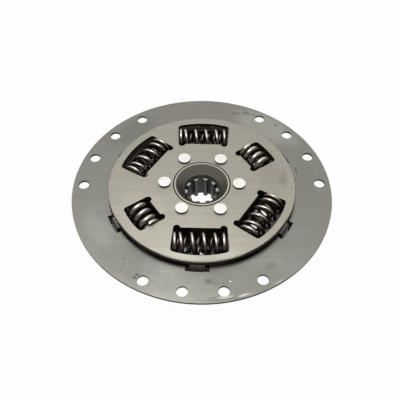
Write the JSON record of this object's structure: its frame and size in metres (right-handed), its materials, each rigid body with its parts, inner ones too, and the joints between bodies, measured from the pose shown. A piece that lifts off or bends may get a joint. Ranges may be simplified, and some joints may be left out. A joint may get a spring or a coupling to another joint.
{
  "type": "clutch disc",
  "caption": "Torsional damper clutch disc: drilled drive plate held between two riveted side plates on a splined hub, with coil springs in windows.",
  "frame": {"origin": "on the hub's axis, in the plane of the drive plate's flywheel face", "axes": "+Z along the hub's axis, towards the flywheel; the long end of the hub points along -Z"},
  "size_m": [0.33, 0.33, 0.0508],
  "materials": {
    "drive_plate_steel": "rolled",
    "side_plate_steel": "rolled",
    "hub_steel": "machined",
    "rivet_steel": "headed",
    "spring_steel": "oiled",
    "friction_lining": "moulded"
  },
  "bodies": {
    "hub_side": {"splined_hub": "hub_steel", "front_side_plate": "side_plate_steel", "rear_side_plate": "side_plate_steel", "hub_rivets": "rivet_steel", "front_friction_ring": "friction_lining", "rear_friction_ring": "friction_lining", "long_damper_spring_1": "spring_steel", "long_damper_spring_2": "spring_steel", "long_damper_spring_3": "spring_steel", "long_damper_spring_4": "spring_steel", "inner_damper_spring_1": "spring_steel", "inner_damper_spring_2": "spring_steel", "inner_damper_spring_3": "spring_steel", "inner_damper_spring_4": "spring_steel", "short_damper_spring_1": "spring_steel", "short_damper_spring_2": "spring_steel"},
    "drive_plate": {"drive_plate": "drive_plate_steel"}
  },
  "joints": [
    {"name": "damper_twist", "type": "hinge", "parent": "hub_side", "child": "drive_plate", "pos_m": [0, 0, 0], "axis": [0, 0, 1], "range_deg": [-2.2, 2.2], "stiffness_Nm_per_rad": 4000, "deforming": ["long_damper_spring_1", "long_damper_spring_2", "long_damper_spring_3", "long_damper_spring_4", "inner_damper_spring_1", "inner_damper_spring_2", "inner_damper_spring_3", "inner_damper_spring_4", "short_damper_spring_1", "short_damper_spring_2"]}
  ]
}
